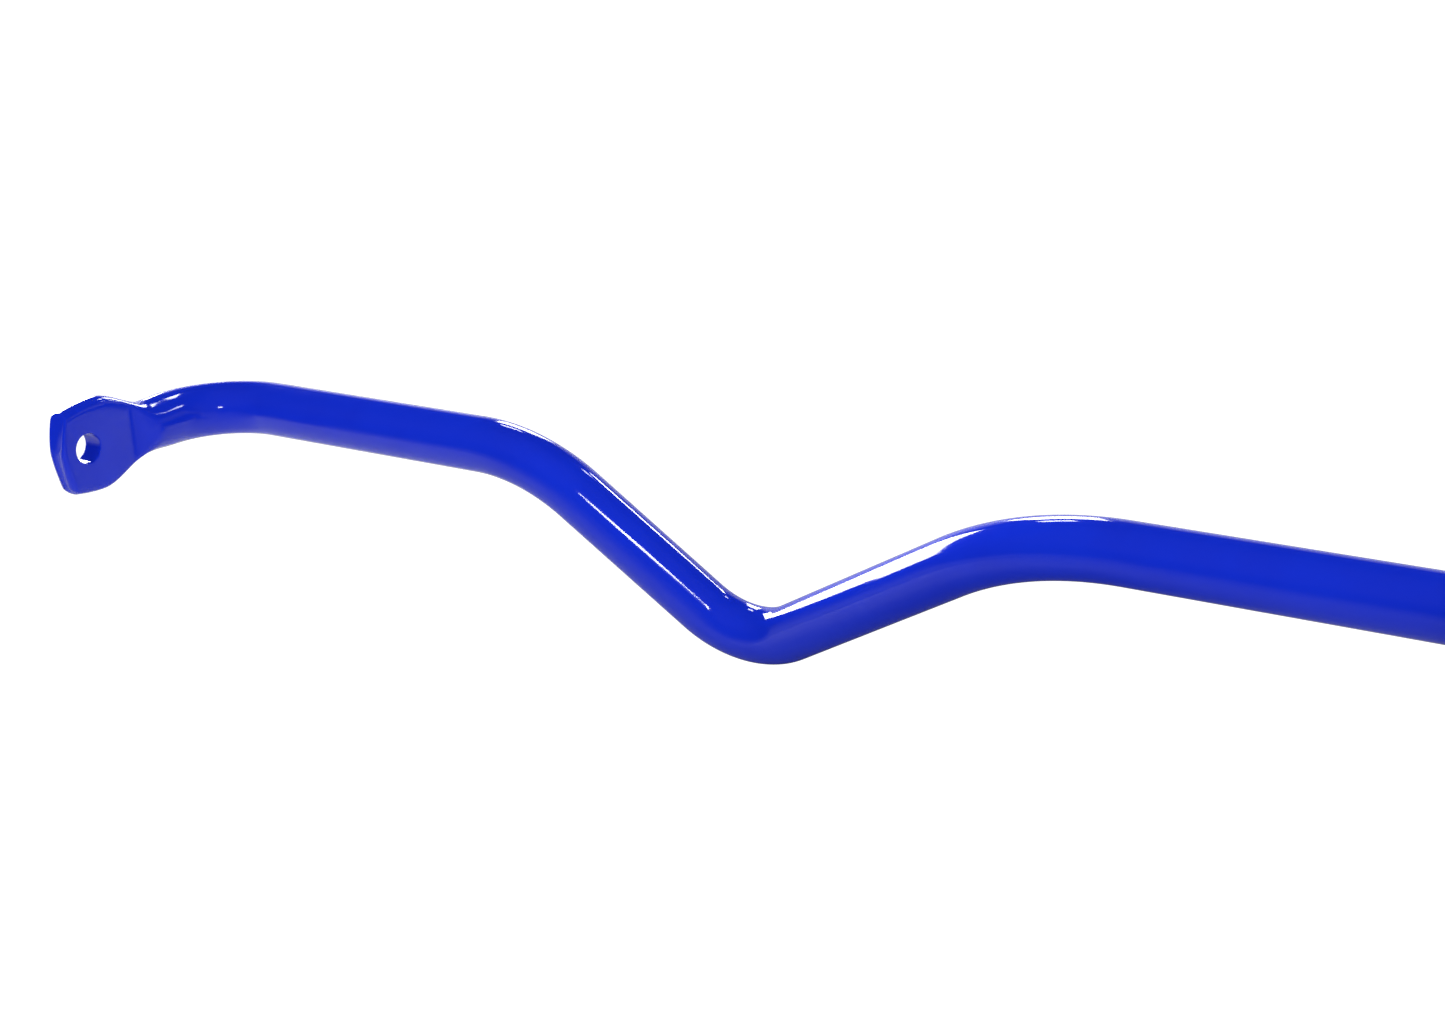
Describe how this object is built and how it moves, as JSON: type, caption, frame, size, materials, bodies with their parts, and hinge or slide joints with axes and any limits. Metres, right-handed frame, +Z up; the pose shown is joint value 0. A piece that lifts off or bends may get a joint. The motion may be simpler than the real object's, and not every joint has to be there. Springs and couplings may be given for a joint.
{
  "type": "sway bar",
  "caption": "Bent steel sway bar with a dip on each side and flattened, drilled eyes, carried in D-section bushes under pressed saddles and kept centred by split lock collars.",
  "frame": {"origin": "the middle of the bar's pivot axis, halfway between the saddles, 18 mm below the chassis face that the saddles bolt to", "axes": "+X along the pivot axis from the left eye to the right eye, the arms point towards -Y and the dips hang towards -Z, +Z is up to the chassis"},
  "size_m": [1.322, 0.1335, 0.1286],
  "materials": {
    "bar": "glossy blue powder coat with a slight orange peel",
    "bush": "satin red polyurethane",
    "saddle": "zinc plated pressed steel",
    "bolt": "zinc plated",
    "washer": "plain zinc plated",
    "collar": "turned, clear anodised",
    "screw": "black oxide"
  },
  "bodies": {
    "mountings": {"bush_left": "bush", "bush_right": "bush", "saddle_left": "saddle", "saddle_right": "saddle", "saddle_bolt_left_front": "bolt", "saddle_bolt_left_rear": "bolt", "saddle_bolt_right_front": "bolt", "saddle_bolt_right_rear": "bolt", "washer_left_front": "washer", "washer_left_rear": "washer", "washer_right_front": "washer", "washer_right_rear": "washer"},
    "bar": {"sway_bar": "bar", "lock_collar_upper_left": "collar", "lock_collar_upper_right": "collar", "lock_collar_lower_left": "collar", "lock_collar_lower_right": "collar", "collar_screw_left_front": "screw", "collar_screw_left_rear": "screw", "collar_screw_right_front": "screw", "collar_screw_right_rear": "screw"}
  },
  "joints": [
    {"name": "bar_pivot", "type": "hinge", "parent": "mountings", "child": "bar", "pos_m": [0, 0, 0], "axis": [1, 0, 0], "range_deg": [-30, 30]}
  ]
}
